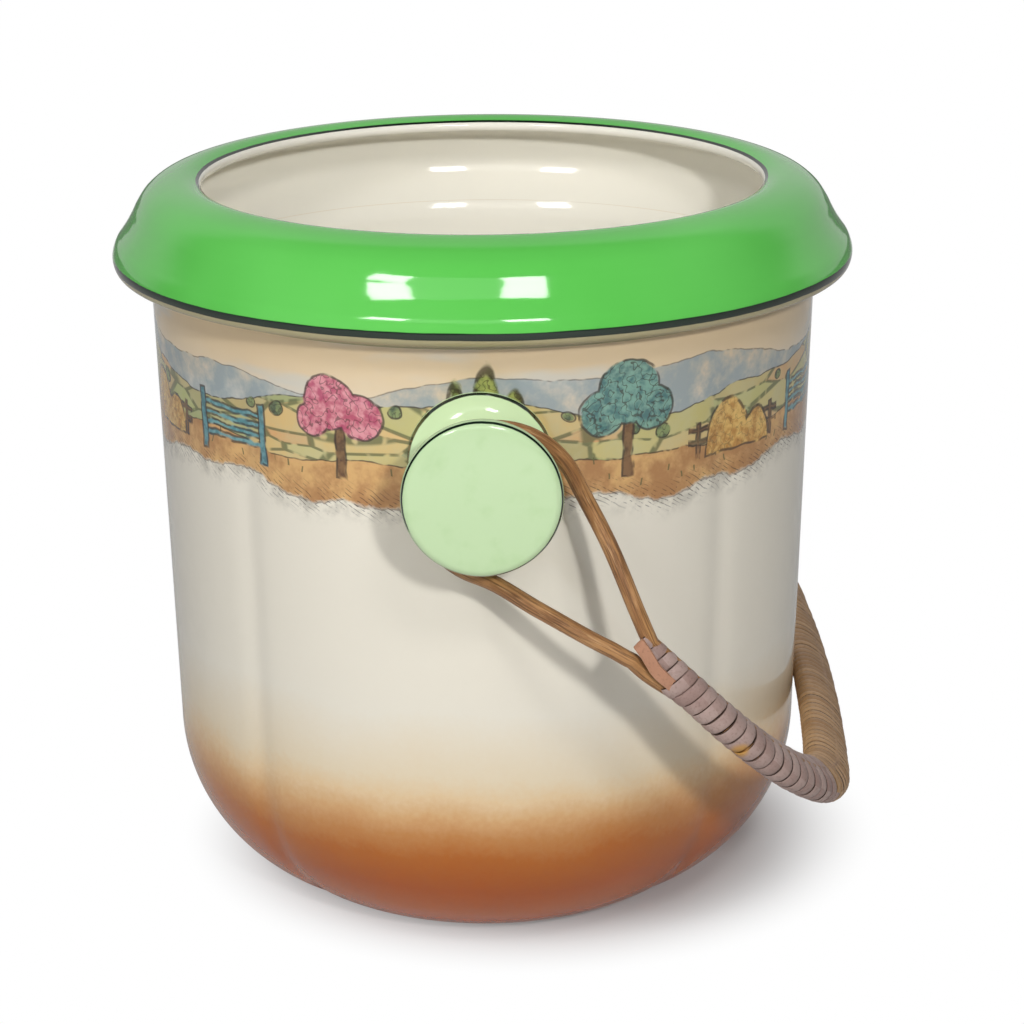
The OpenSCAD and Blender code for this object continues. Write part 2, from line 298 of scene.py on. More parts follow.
CREAM = (232, 226, 211)
# The inside cream is lighter than the outer cream: partly a whiter inside glaze and partly painted light
# that lifts the dim inside.
INSIDE_CREAM = colour(252, 248, 235)
HEEL_TOP = 110.0
# Orange-brown spray up the heel. The two lowest stops are paler: partly a thinner spray at the very foot and
# partly a painted reflection of the pale floor in the glaze.
HEEL_SPRAY_AND_FOOT_SHEEN = ((0, (212, 118, 74)), (8, (207, 107, 60)), (20, (192, 98, 27)), (34, (178, 86, 12)),
              (40, (178, 91, 16)), (50, (182, 102, 28)), (60, (194, 133, 73)), (68, (212, 166, 114)),
              (76, (226, 198, 156)), (84, (228, 212, 183)), (HEEL_TOP, CREAM))
SPRAY_DRIFT = 16
SPRAY_SPECKLE = 5
WASH_DRIFT = 26
WASH_RISE = (214.0, 250.0)
WASH_SHARE = 0.75
TAN_WASH = colour(216, 192, 150)
cream_glaze, cream_shader, pen = new_finish("cream_glaze", 0.09, 1.58)
x_mm, y_mm, z_mm = pen.place((1000.0, 1000.0, 1000.0)).split()
run = pen.node("ShaderNodeAttribute", sets={"attribute_name": "run"}, out="Fac")
spray = pen.noise(22.0, 3.0)
grain = pen.noise(420.0, 2.0)
height = z_mm + (spray - 0.5) * SPRAY_DRIFT + (grain - 0.5) * SPRAY_SPECKLE
stops = [(z / HEEL_TOP, colour(*tint)) for z, tint in HEEL_SPRAY_AND_FOOT_SHEEN]
tone = pen.node("ShaderNodeValToRGB", {"Fac": height / HEEL_TOP}, {"stops": stops})
wash = (z_mm + (spray - 0.5) * WASH_DRIFT).ease(*WASH_RISE)
tone = (wash * WASH_SHARE).mix(tone, TAN_WASH)

INK = colour(58, 48, 40)
FRIEZE_R = 128.0
SMALL_TREES = 64
MOTIFS = 15
KINDS = 5
GROWN = 1.3
TUFTS = 130
STAND_Z = 203.0
FIRST_KIND = 2.0
shake = pen.noise(95.0, 2.0, out=1).split()
turn = x_mm.sum("ARCTAN2", x_mm, y_mm * -1.0) + (shake[0] - 0.5) * 0.022
rise = z_mm + (shake[1] - 0.5) * 3.4
bleed = (shake[2] - 0.5) * 2.6
dabs = pen.noise(330.0, 2.0, 0.6)
scribble = abs(pen.noise(300.0, 1.0) - 0.5).ease(0.035, 0.012)
pigment = pen.noise(70.0, 4.0, 0.65)
ink_load = pen.noise(210.0, 1.0).ease(0.3, 0.5) * 0.8


def waves(level, *swells):
    """The height of a skyline round the pail, as a level and a few swells: count, start and size."""
    line = level
    for count, start, size in swells:
        line = (turn * count + start).sine() * size + line
    return line


def below(line, soft=0.35):
    return (line - rise).ease(-soft, soft)


def inked(tone, distance, width=0.32, share=1.0):
    return (abs(distance).ease(width + 0.2, width - 0.15) * ink_load * share).mix(tone, INK)


def cells(count):
    """The number of a cell round the pail, and the distance from its middle in millimetres."""
    place = turn * (count / (2 * math.pi)) + count / 2
    return place.floor(), (place.fraction() - 0.5) * (2 * math.pi * FRIEZE_R / count)


def ball(across, up, x, z, radius, tall=1.0):
    """Distance to the edge of a round or oval, below 0 inside it."""
    return ((across - x) * (across - x) + (up - z) * (up - z) * (1 / tall ** 2)).root() - radius


def bar(across, up, x, z, half_w, half_h):
    """Distance to the edge of a bar, below 0 inside it."""
    return (abs(across - x) - half_w).most(abs(up - z) - half_h)


def drawn(tone, distance, only, light, shade, scribbled=0.0):
    """A motif: a wash that strays a little over its pen outline, in patches of light and shade."""
    fill = (distance + bleed).ease(0.4, -0.4) * only
    tone = (fill * 0.95).mix(tone, (dabs * 0.6 + pigment * 0.5).ease(0.42, 0.66).mix(shade, light))
    if scribbled:
        tone = (fill * scribble * scribbled).mix(tone, INK)
    return inked(tone, distance, share=only)


# Sky with thin cloud, and far hills
SKY, CLOUD = colour(226, 196, 152), colour(196, 204, 204)
HILL_FAR, HILL_NEAR = colour(146, 160, 164), colour(196, 192, 150)
bare = tone
far_line = waves(237.0, (3, 0.4, 4.5), (8, 1.9, 2.6))
tone = ((rise - pigment * 30).ease(190.0, 230.0) * 0.45).mix(tone, SKY)
cloud = pen.noise(1.0, 3.0, 0.5, pen.place((14.0, 14.0, 60.0))).ease(0.5, 0.68)
tone = (cloud * 0.55).mix(tone, CLOUD)
tone = (below(far_line) * pigment.ease(0.2, 0.6) * 0.9).mix(tone, HILL_FAR)
tone = inked(tone, rise - far_line, 0.22, 0.7)

# Fields with hedges between them
FIELDS = ((0.0, colour(206, 190, 128)), (0.3, colour(176, 184, 116)), (0.5, colour(222, 186, 124)),
          (0.68, colour(160, 172, 120)), (0.84, colour(214, 168, 112)))
field_line = waves(227.0, (4, 2.4, 4.5), (9, 0.6, 2.2))
patches = pen.place((34.0, 34.0, 120.0))
patch = pen.node("ShaderNodeTexVoronoi", {"Vector": patches, "Scale": 1.0}, out="Color").split()[0]
edge_of = {"feature": "DISTANCE_TO_EDGE"}
hedge = pen.node("ShaderNodeTexVoronoi", {"Vector": patches, "Scale": 1.0}, edge_of)
field = pen.node("ShaderNodeValToRGB", {"Fac": patch}, {"stops": FIELDS})
field = (pigment.ease(0.35, 0.7) * 0.45).mix(field, HILL_NEAR)
field = (hedge.ease(0.07, 0.03) * ink_load).mix(field, colour(92, 98, 62))
tone = below(field_line).mix(tone, field)
tone = inked(tone, rise - field_line, 0.25)
number, across = cells(SMALL_TREES)
chance = pen.node("ShaderNodeTexWhiteNoise", {"W": number}, {"noise_dimensions": "1D"}, "Color").split()
up = rise - field_line + chance[0] * 9
small = ball(across, up, (chance[1] - 0.5) * 5, 2.2, chance[2] * 1.5 + 1.9, 0.85)
tone = drawn(tone, small, chance[0].ease(0.38, 0.42), colour(134, 150, 96), colour(70, 92, 70), 0.5)

# Ground with a hatched lower edge that runs out into the cream
GROUND, EARTH, SMUDGE = colour(216, 172, 112), colour(176, 128, 80), colour(150, 144, 132)
ground_line = waves(208.0, (5, 1.0, 2.0), (13, 0.3, 1.0))
tone = below(ground_line).mix(tone, pigment.ease(0.35, 0.65).mix(EARTH, GROUND))
tone = inked(tone, rise - ground_line, 0.25)
foot_line = waves(193.0, (6, 0.9, 2.5), (17, 2.0, 1.2)) + (pigment - 0.5) * 7
over_foot = rise - foot_line
smudge = over_foot.ease(-11.0, 0.5) * pen.noise(120.0, 3.0, 0.7).ease(0.38, 0.66) * 0.55
strokes = (turn * (FRIEZE_R * 2.1) + rise * 3.4).sine().ease(0.6, 0.95) * dabs.ease(0.44, 0.58)
tone = over_foot.ease(-0.6, 1.4).mix(smudge.mix(bare, SMUDGE), tone)
tone = (strokes * over_foot.ease(-7.0, -1.0) * over_foot.ease(9.0, 2.0) * 0.7).mix(tone, INK)
tone = inked(tone, over_foot, 0.3, 0.6)
number, across = cells(TUFTS)
chance = pen.node("ShaderNodeTexWhiteNoise", {"W": number}, {"noise_dimensions": "1D"}, "Color").split()
up = rise - ground_line + chance[0] * 12
tuft = bar(across + up * (chance[1] - 0.5), up, 0, 1.1, 0.28, 1.2)
tone = (tuft.ease(0.2, -0.1) * chance[2].ease(0.35, 0.4) * 0.85).mix(tone, colour(96, 96, 58))

# Motifs standing on the ground, in turn round the pail
number, across = cells(MOTIFS)
across = across / GROWN
kind = number.sum("FLOORED_MODULO", number + FIRST_KIND, float(KINDS))
orchard, stack, gate, blossom, poplars = [abs(kind - k).ease(0.3, 0.2) for k in range(KINDS)]
up = (rise - STAND_Z) / GROWN
BARK = (colour(126, 92, 60), colour(84, 58, 40))
rails = bar(across, up, 0, 3.6, 30, 0.55).least(bar(across, up, 0, 7.0, 30, 0.55))
posts = abs((across / 6.7).fraction() * 6.7 - 3.35) - 0.7
fence = rails.least(posts.most(abs(up - 4.0) - 5.0))
tone = drawn(tone, fence, stack.most(poplars), *BARK)
trunk = bar(across, up, 0, 6.0, 1.5, 8.0)
tone = drawn(tone, trunk, orchard.most(blossom), *BARK)
crown = ball(across, up, 0, 23, 9.5).least(ball(across, up, -8, 17.5, 6.8))
crown = crown.least(ball(across, up, 8, 17, 6.4))
tone = drawn(tone, crown, orchard, colour(122, 166, 150), colour(66, 112, 112), 0.7)
crown = ball(across, up, -3, 20, 8.2).least(ball(across, up, 6, 16.5, 6.8))
crown = crown.least(ball(across, up, -9, 14.5, 5.0))
tone = drawn(tone, crown, blossom, colour(224, 150, 160), colour(184, 76, 108), 0.6)
hay = ball(across, up, -4, 0, 9.5, 1.5).least(ball(across, up, 9, 0, 6.5, 1.4)).most(up * -1.0 - 1.5)
tone = drawn(tone, hay, stack, colour(228, 188, 108), colour(186, 134, 66), 0.35)
for z in (3.0, 5.9, 8.8, 11.7):
    tone = drawn(tone, bar(across, up, 0, z, 12.5, 0.75), gate, colour(112, 168, 174), colour(74, 132, 142))
ends = bar(abs(across), up, 13.2, 6.5, 1.3, 9.0)
tone = drawn(tone, ends, gate, colour(98, 152, 160), colour(62, 112, 124))
tall = ball(across, up, -8.0, 13, 3.4, 4.2).least(ball(across, up, 0.5, 15, 3.8, 4.4))
tall = tall.least(ball(across, up, 8.5, 12, 3.2, 4.0))
tone = drawn(tone, tall, poplars, colour(160, 168, 88), colour(102, 116, 58), 0.6)
# The inside of the pail in the lighter inside cream, partly painted light.
tone = run.ease(-0.5, 0.5).mix(tone, INSIDE_CREAM)
feed(cream_shader, "Base Color", tone)
feed(cream_shader, "Normal", bump(pen, pen.noise(60.0, 2.0), 0.0004, 0.35))
jar.data.materials.append(cream_glaze)
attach(jar, "jar")
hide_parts("jar_body")

# Rim collar
# A domed ring of the same clay, luted to the pail's shoulder, hollow inside and turned out to a thin lip.
# It is glazed bright green, with a near-black line brushed along the edge of the mouth and of the lip, and
# painted shade on the lip's underside.
CREST = (117.3, 290.5)
MOUTH_R = 110.7
MOUTH_CURVE = 11.5
MOUTH_ROLL = 2.2
ROLL_STEPS = 14
CROWN_DROP = ((126.0, 288.5), (131.8, 284.6), (135.2, 280.0), (137.3, 276.0), (139.4, 272.2))
FLARE = ((141.6, 268.8), (143.6, 266.0), (144.7, 263.4), (145.2, 261.2))
LIP = ((145.0, 258.9), (144.2, 257.0), (142.6, 256.0), (140.6, 256.2), (137.8, 257.6), (134.0, 257.8),
       (131.2, 256.2), (130.7, SHOULDER_Z))
LIP_LINE = (258.8, 261.6)
MOUTH_LINE = 1.4
HOLLOW_ROUND = 276.6
INNER = -10.0


def curl(x, z, rx, rz, start, end, steps):
    """Points of part of an ellipse, angles in degrees from the horizontal."""
    return [(x + rx * math.cos(a), z + rz * math.sin(a)) for a in np.radians(np.linspace(start, end, steps))]


def flowing(points, steps):
    """A smooth line through points, with a few more between each two."""
    mirrored = (2 * points[0][0] - points[1][0], points[1][1])
    knots = np.array([mirrored, *points, points[-1]])
    line = []
    for a, b, c, d in zip(knots, knots[1:], knots[2:], knots[3:]):
        for t in np.linspace(0, 1, steps, endpoint=False):
            line.append(tuple(0.5 * (2 * b + (c - a) * t + (2 * a - 5 * b + 4 * c - d) * t ** 2
                                     + (3 * b - a - 3 * c + d) * t ** 3)))
    return line + [tuple(points[-1])]


edge_turn = 90 + math.degrees(math.asin((CREST[0] - MOUTH_R) / MOUTH_CURVE))
edge_x, edge_z = math.cos(math.radians(edge_turn)), math.sin(math.radians(edge_turn))
roll_x = MOUTH_R - MOUTH_ROLL * edge_x
roll_z = CREST[1] - MOUTH_CURVE * (1 - edge_z) - MOUTH_ROLL * edge_z
mouth = curl(roll_x, roll_z, MOUTH_ROLL, MOUTH_ROLL, 235, edge_turn, ROLL_STEPS)
mouth += curl(CREST[0], CREST[1] - MOUTH_CURVE, MOUTH_CURVE, MOUTH_CURVE, edge_turn, 92, 12)[1:]
outer = flowing((CREST,) + CROWN_DROP + FLARE + LIP, 6)
hollow = [(inside_r(z), z) for z in np.linspace(SHOULDER_Z, HOLLOW_TO + 1, 18)]
under = curl(CREST[0] + 0.5, HOLLOW_ROUND, HOLLOW_R - CREST[0] - 0.5, 7.2, 0, 96, 18)
collar_outline = mouth + outer + hollow + under
collar = turned("collar", collar_outline, round_z)
runs = runs_along(collar_outline, ROLL_STEPS - 1)
outer_runs = runs[len(mouth):len(mouth) + len(outer)]
lip_from, lip_to = (float(np.interp(-z, [-p[1] for p in outer], outer_runs)) for z in LIP_LINE[::-1])
runs[len(mouth) + len(outer):] = INNER
mark_rings(collar, collar_outline, AROUND, runs)

LINE_BLACK = colour(24, 40, 28)
GREEN = colour(108, 208, 97)
GREEN_DEEP = colour(94, 196, 83)
UNDER_LIP_SHADE = colour(170, 160, 122)
green_glaze, green_shader, pen = new_finish("green_glaze", 0.07, 1.6)
run = pen.node("ShaderNodeAttribute", sets={"attribute_name": "run"}, out="Fac")
flow = pen.noise(9.0, 2.0)
wobble = (pen.noise(40.0, 2.0) - 0.5) * 0.9
tone = flow.ease(0.35, 0.7).mix(GREEN_DEEP, GREEN)
tone = (run + wobble * 0.6).ease(MOUTH_LINE + 0.15, MOUTH_LINE - 0.15).mix(tone, LINE_BLACK)
# The inside of the mouth in the lighter inside cream, partly painted light.
tone = run.ease(0.15, -0.15).mix(tone, INSIDE_CREAM)
brushed = run + wobble * 0.7
tone = brushed.ease(lip_from - 0.2, lip_from + 0.2).mix(tone, LINE_BLACK)
# Painted shade: the lip's underside is a darker olive tan than the glaze, for the shade under the overhang.
tone = brushed.ease(lip_to - 0.2, lip_to + 0.2).mix(tone, UNDER_LIP_SHADE)
feed(green_shader, "Base Color", tone)
feed(green_shader, "Normal", bump(pen, pen.noise(70.0, 2.0), 0.0003, 0.3))
collar.data.materials.append(green_glaze)
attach(collar, "jar")
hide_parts("rim_collar")

# Knobs
# Two spool-shaped lugs, thrown separately and luted to the front and back lobes: a flange on the wall,
# a coved neck for the cane and a round face. Pale green glaze, with a dark line on flange and face.
KNOB_Z = 207.9
FACE_R = 28.8
FACE_BACK = 159.5
FACE_T = 7.2
FACE_DOME = 1.0
NECK_R = 15.8
NECK_FROM = 144.0
NECK_TO = 155.0
FLANGE_R = 26.4
FLANGE_OFF = (-1.7, 2.0)
FACE_OFF = (-1.1, -1.1)
FLANGE_Y = 131.8
SUNK_Y = 120.0
SUNK_MIDDLE = 126.0
WALL_BITE = 0.3
LINE_BACK = 8
KNOB_AROUND = 128


def wall_y(x, z):
    """How far out the front lobe's wall stands at a place on it."""
    radius = BASE_R + math.tan(WALL_LEAN) * z
    return LOBE_SHIFT + math.sqrt((radius - LOBE_SHIFT) ** 2 - x * x)


cove = curl(FLANGE_R - 0.6, NECK_FROM, FLANGE_R - 0.6 - NECK_R, NECK_FROM - FLANGE_Y - 0.4, -90, -180, 16)
roll = curl(FACE_R - FACE_T / 2, FACE_BACK + FACE_T / 2, FACE_T / 2, FACE_T / 2, -70, 84, 22)
dome = []
for r in np.linspace(FACE_R - 4.5, 3, 12):
    dome.append((r, FACE_BACK + FACE_T + FACE_DOME * (1 - (r / (FACE_R - 3)) ** 2)))
knob_outline = [(0, SUNK_Y), (FLANGE_R, SUNK_Y), (FLANGE_R, FLANGE_Y - 0.5), (FLANGE_R - 0.15, FLANGE_Y)]
knob_outline += cove + [(NECK_R, y) for y in np.linspace(NECK_FROM, NECK_TO, 6)[1:]]
knob_outline += [(NECK_R + 0.8, NECK_TO + 1.6), (NECK_R + 3.4, NECK_TO + 2.6), (FACE_R - 5, FACE_BACK - 0.4)]
knob_outline += roll + dome + [(0, FACE_BACK + FACE_T + FACE_DOME)]
knob_runs = runs_along(knob_outline, 2)


def make_knob(name, side):
    def place(turn, radius, out):
        x, z = radius * math.sin(turn), KNOB_Z + radius * math.cos(turn)
        if out <= SUNK_Y:
            out = wall_y(x, z) - WALL_BITE if radius > 1 else SUNK_MIDDLE
        elif out < FLANGE_Y + 0.1 and radius > FLANGE_R - 1:
            out += wall_y(x, z) - wall_y(0, z)
        share = min(max((out - FLANGE_Y) / (FACE_BACK - FLANGE_Y), 0.0), 1.0)
        droop = [a + (b - a) * share for a, b in zip(FLANGE_OFF, FACE_OFF)]
        return x + droop[0], side * out, z + droop[1]

    piece = turned(name, knob_outline, place, KNOB_AROUND)
    mark_rings(piece, knob_outline, KNOB_AROUND, knob_runs)
    return piece


PALE_GREEN = colour(194, 220, 173)
PALE_DEEP = colour(174, 207, 148)
PALE_FLANGE = colour(212, 236, 186)
knob_glaze, knob_shader, pen = new_finish("pale_green_glaze", 0.08, 1.58)
run = pen.node("ShaderNodeAttribute", sets={"attribute_name": "run"}, out="Fac")
blotch = pen.noise(90.0, 3.0)
wobble = (pen.noise(160.0, 2.0) - 0.5) * 0.5
front_knob = make_knob("front_knob", -1)
back_knob = make_knob("back_knob", 1)
face_edge = float(knob_runs[len(knob_outline) - len(dome) - 1 - LINE_BACK])
tone = (blotch.ease(0.5, 0.78) * 0.5).mix(PALE_GREEN, PALE_DEEP)
tone = run.ease(20.0, 10.0).mix(tone, PALE_FLANGE)
tone = abs(run + wobble - 0.1).ease(1.3, 0.9).mix(tone, LINE_BLACK)
x_mm, _, z_mm = pen.place((1000.0, 1000.0, 1000.0)).split()
rubbed = (x_mm * -0.5 - (z_mm - KNOB_Z) * 0.87 + wobble * 4).ease(23.0, 25.5)
edge_line = abs(run + wobble * 0.7 - face_edge).ease(0.75, 0.45)
tone = (edge_line * (1.0 - rubbed * 0.8)).mix(tone, LINE_BLACK)
feed(knob_shader, "Base Color", tone)
feed(knob_shader, "Normal", bump(pen, pen.noise(110.0, 2.0), 0.0003, 0.3))
for piece, node in ((front_knob, "front_knob"), (back_knob, "back_knob")):
    piece.name = node + "_glazed"
    piece.data.materials.append(knob_glaze)
    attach(piece, "jar")
    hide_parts(node)

# Cane hairpins
# Two rattan rods, skinned and steamed, each bent once round a knob's neck. Both ends of a rod run
# together down the grip, where they meet the ends of the other rod.
REST_DROP = math.radians(44.4411)
HALF_W = 172.7
THROAT_S = 78.0
BAIL_REACH = 189.0
SHOULDER_BEND = 72.0
GRIP_BOW = 5.6
CANE_R = 3.0
LAY_GAP = 0.2
LOOP_R = 29.0
LOOP_S = 9.767
LOOP_SAG = 0.8
LOOP_Y = 149.5
FLARE_S = LOOP_S + 16.0
SKEW = 3.0
SLACK_OUT = ((2.0, 22, 45), (1.0, 69, 79))
SLACK_END = (82, 104)
TUCK_IN = 2.5
TUCK_FADE = (25, 55)
ARCH_S = BAIL_REACH - SHOULDER_BEND - GRIP_BOW
LEG_L = ARCH_S - THROAT_S
ARCH_RUN = HALF_W - SHOULDER_BEND
ARCH_RISE = SHOULDER_BEND + GRIP_BOW
CROWN_BEND = (ARCH_RISE ** 2 + ARCH_RUN ** 2 - SHOULDER_BEND ** 2) / (2 * GRIP_BOW)
CROWN_HALF = math.atan2(ARCH_RUN, CROWN_BEND - ARCH_RISE)
SIDE_TURN = math.pi / 2 - CROWN_HALF
SIDE_L = SHOULDER_BEND * SIDE_TURN
CROWN_L = CROWN_BEND * 2 * CROWN_HALF
GRIP_L = 2 * LEG_L + 2 * SIDE_L + CROWN_L
STRAND_N = CANE_R + LAY_GAP / 2


def in_bail(s, y, n):
    """A point of the hanging bail: s from the hinge, y along it, n across the bail's plane."""
    c, d = math.cos(REST_DROP), math.sin(REST_DROP)
    return np.array([s * c + n * d, y, KNOB_Z - s * d + n * c])


def arch(along):
    """The grip's middle line: s, y and heading at a length from the front throat."""
    if along < LEG_L:
        s, y, heading = THROAT_S + along, -HALF_W, 0.0
    elif along < LEG_L + SIDE_L:
        heading = (along - LEG_L) / SHOULDER_BEND
        s, y = ARCH_S + SHOULDER_BEND * math.sin(heading), -ARCH_RUN - SHOULDER_BEND * math.cos(heading)
    elif along < LEG_L + SIDE_L + CROWN_L:
        heading = SIDE_TURN + (along - LEG_L - SIDE_L) / CROWN_BEND
        s, y = BAIL_REACH - CROWN_BEND * (1 - math.sin(heading)), -CROWN_BEND * math.cos(heading)
    elif along < LEG_L + 2 * SIDE_L + CROWN_L:
        heading = math.pi - SIDE_TURN + (along - LEG_L - SIDE_L - CROWN_L) / SHOULDER_BEND
        s, y = ARCH_S + SHOULDER_BEND * math.sin(heading), ARCH_RUN - SHOULDER_BEND * math.cos(heading)
    else:
        s, y, heading = THROAT_S + GRIP_L - along, HALF_W, math.pi
    return s - SKEW * math.sin(2 * math.pi * along / GRIP_L), y, heading


def on_grip(along, out, across):
    """A point at a length along the grip, out from its middle line and across the bail's plane."""
    s, y, heading = arch(along)
    return in_bail(s + out * math.sin(heading), y - out * math.cos(heading), across)


def flare_y(s):
    """How far out a strand lies on its way from the neck to the throat."""
    return LOOP_Y + (HALF_W - LOOP_Y) * smooth(FLARE_S, THROAT_S, s)


def sag(s):
    """How far a strand hangs below the bail's plane, most of all at the neck."""
    return -LOOP_SAG * min(max((THROAT_S - s) / (THROAT_S - LOOP_S), 0.0), 1.0)


def slack(s):
    """How much further out the lower strand lies, where it comes loose from the first turns."""
    loose = sum(size * smooth(low, high, s) for size, low, high in SLACK_OUT)
    return loose * (1 - smooth(*SLACK_END, s))


def tuck(s, n):
    """How much closer the upper side of the loop lies, where it is pressed on the neck."""
    return TUCK_IN * (1 - smooth(*TUCK_FADE, s)) * max(n, 0.0) / LOOP_R


def hairpin(side):
    """The middle line of a rod: down the grip, round the neck, back up the grip."""
    half = GRIP_L / 2 - LAY_GAP / 2
    legs = [a if side < 0 else GRIP_L - a for a in np.linspace(half, 0.6, 120)]
    reach = math.hypot(THROAT_S - LOOP_S, STRAND_N)
    start = math.atan2(STRAND_N, THROAT_S - LOOP_S) + math.acos(LOOP_R / reach)
    touch = (LOOP_S + LOOP_R * math.cos(start), LOOP_R * math.sin(start))
    shares = np.linspace(0, 1, 40)[:-1]
    strand = [(THROAT_S + (touch[0] - THROAT_S) * v, STRAND_N + (touch[1] - STRAND_N) * v) for v in shares]
    turns = np.linspace(start, 2 * math.pi - start, 60)
    loop = [(LOOP_S + LOOP_R * math.cos(a), LOOP_R * math.sin(a)) for a in turns]
    bend = [(s, n - tuck(s, n)) for s, n in strand + loop]
    bend += [(s, -n - slack(s)) for s, n in strand[::-1]]
    path = [on_grip(a, 0, STRAND_N) for a in legs]
    path += [in_bail(s, side * flare_y(s), n + sag(s)) for s, n in bend]
    path += [on_grip(a, 0, -STRAND_N - slack(arch(a)[0])) for a in legs[::-1]]
    return np.array(path)


def swept(name, path, radii, sides, ripple=0.0, seed=1):
    """A round rod along a line of points, closed at both ends, with its grain stored for the finish."""
    path = np.asarray(path)
    ways = np.gradient(path, axis=0)
    ways /= np.linalg.norm(ways, axis=1)[:, None]
    side = np.cross(ways[0], (0.3, 0.2, 1.0))
    runs = np.concatenate([[0.0], np.cumsum(np.linalg.norm(np.diff(path, axis=0), axis=1))])
    draw = np.random.default_rng(seed)
    waves = draw.uniform(-1, 1, (4, 3))
    points, grain, faces = [], [], []
    for k, (middle, way) in enumerate(zip(path, ways)):
        side = side - way * np.dot(side, way)
        side /= np.linalg.norm(side)
        other = np.cross(way, side)
        for j in range(sides):
            a = 2 * math.pi * j / sides
            swell = 0.0
            for i, (size, start, _) in enumerate(waves):
                swell += size * math.sin(runs[k] / (9 + 12 * i) + 3 * start + (i % 3) * a)
            r = radii[k] * (1 + ripple * swell)
            points.append(middle + r * (math.cos(a) * side + math.sin(a) * other))
            grain.append((math.cos(a) * radii[k], math.sin(a) * radii[k], runs[k]))
    count = len(path)
    for k in range(count - 1):
        for j in range(sides):
            m = (j + 1) % sides
            faces.append((k * sides + j, k * sides + m, (k + 1) * sides + m, (k + 1) * sides + j))
    faces.append(tuple(range(sides))[::-1])
    faces.append(tuple((count - 1) * sides + j for j in range(sides)))
    piece = new_mesh(name, points, faces, 60.0)
    marks = piece.data.attributes.new("grain", "FLOAT_VECTOR", "POINT")
    marks.data.foreach_set("vector", np.array(grain, np.float32).ravel())
    return piece


CANE_LIGHT = colour(180, 134, 86)
CANE_MID = colour(144, 100, 60)
CANE_DARK = colour(92, 60, 36)
cane_finish, cane_shader, pen = new_finish("cane", 0.42)
grain_at = pen.node("ShaderNodeAttribute", sets={"attribute_name": "grain"}, out="Vector")
fibre = pen.noise(1.7, 4.0, 0.65, grain_at.scaled((1.0, 1.0, 0.035)))
stain = pen.noise(1.0, 3.0, 0.6, grain_at.scaled((0.25, 0.25, 0.06)))
tone = stain.ease(0.35, 0.65).mix(CANE_MID, CANE_LIGHT)
tone = (fibre.ease(0.46, 0.64) * 0.8).mix(tone, CANE_DARK)
pale = pen.noise(1.3, 3.0, 0.6, grain_at.scaled((0.8, 0.8, 0.05))).ease(0.58, 0.72)
tone = (pale * 0.6).mix(tone, colour(206, 168, 120))
feed(cane_shader, "Base Color", tone)
feed(cane_shader, "Roughness", fibre * 0.3 + 0.28)
feed(cane_shader, "Normal", bump(pen, fibre, 0.0006, 0.6))
for node, side in (("front_cane", -1), ("back_cane", 1)):
    path = hairpin(side)
    piece = swept(node + "_rod", path, [CANE_R] * len(path), 20, 0.018, 3 + side)
    piece.data.materials.append(cane_finish)
    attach(piece, "bail")
    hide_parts(node)

# Packing canes
# Two slightly thicker rods laid on the inside and the outside of the bend, skived to a taper at both ends.
# They make the grip a flat oval and are hidden under the binding.
PACKING_R = 3.6
PACKING_START = 12.0
SKIVE_L = 48.0
SKIVE_SHARE = 0.35


def packing_at(along):
    """Radius of a packing cane at a length along the grip."""
    share = min(max((min(along, GRIP_L - along) - PACKING_START) / SKIVE_L, 0.0), 1.0)
    return PACKING_R * (SKIVE_SHARE + (1 - SKIVE_SHARE) * share)


def packing_out(radius):
    """How far a packing cane of this radius lies from the grip's middle line."""
    return math.sqrt((CANE_R + radius + LAY_GAP) ** 2 - STRAND_N ** 2)


for node, side in (("inner_packing_cane", -1), ("outer_packing_cane", 1)):
    lengths = np.linspace(PACKING_START, GRIP_L - PACKING_START, 150)
    radii = [packing_at(a) for a in lengths]
    path = [on_grip(a, side * packing_out(r), 0.0) for a, r in zip(lengths, radii)]
    piece = swept(node + "_rod", path, radii, 14, 0.01, 7 + side)
    piece.data.materials.append(cane_finish)
    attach(piece, "bail")
    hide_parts(node)

# Bindings
# Two lengths of split cane, domed on the bark side, wound wet and tight round the canes from throat to
# throat. The front length is pinkish taupe, the longer back one brown and more worn, both with painted shade
# at the turns' edges.
STRIP_W = 5.6
STRIP_DOME = 0.5
DOME_POINTS = 8
STRIP_LIFT = 0.12
STRIP_SINK = 0.35
ONE_STRAND = 1.6
OVAL_POWER = 2 / 2.25
TURN_START = 0.4
STRAY_ALONG, STRAY_OUT, STRAY_ACROSS = 0.22, 0.16, 0.1
LOOSE_TURNS = (11.0, 18.0)
TURN_PITCH = 5.0
TURN_POINTS = 28
FRONT_FROM = -1.6
FRONT_TURNS = 22
BACK_TURNS = 77


def bundle_out(along):
    """Half the thickness of the canes under the binding, at a length along the grip."""
    packed = packing_out(packing_at(along)) + packing_at(along)
    share = min(max(min(along, GRIP_L - along) / PACKING_START, 0.0), 1.0)
    return CANE_R + (packed - CANE_R) * share


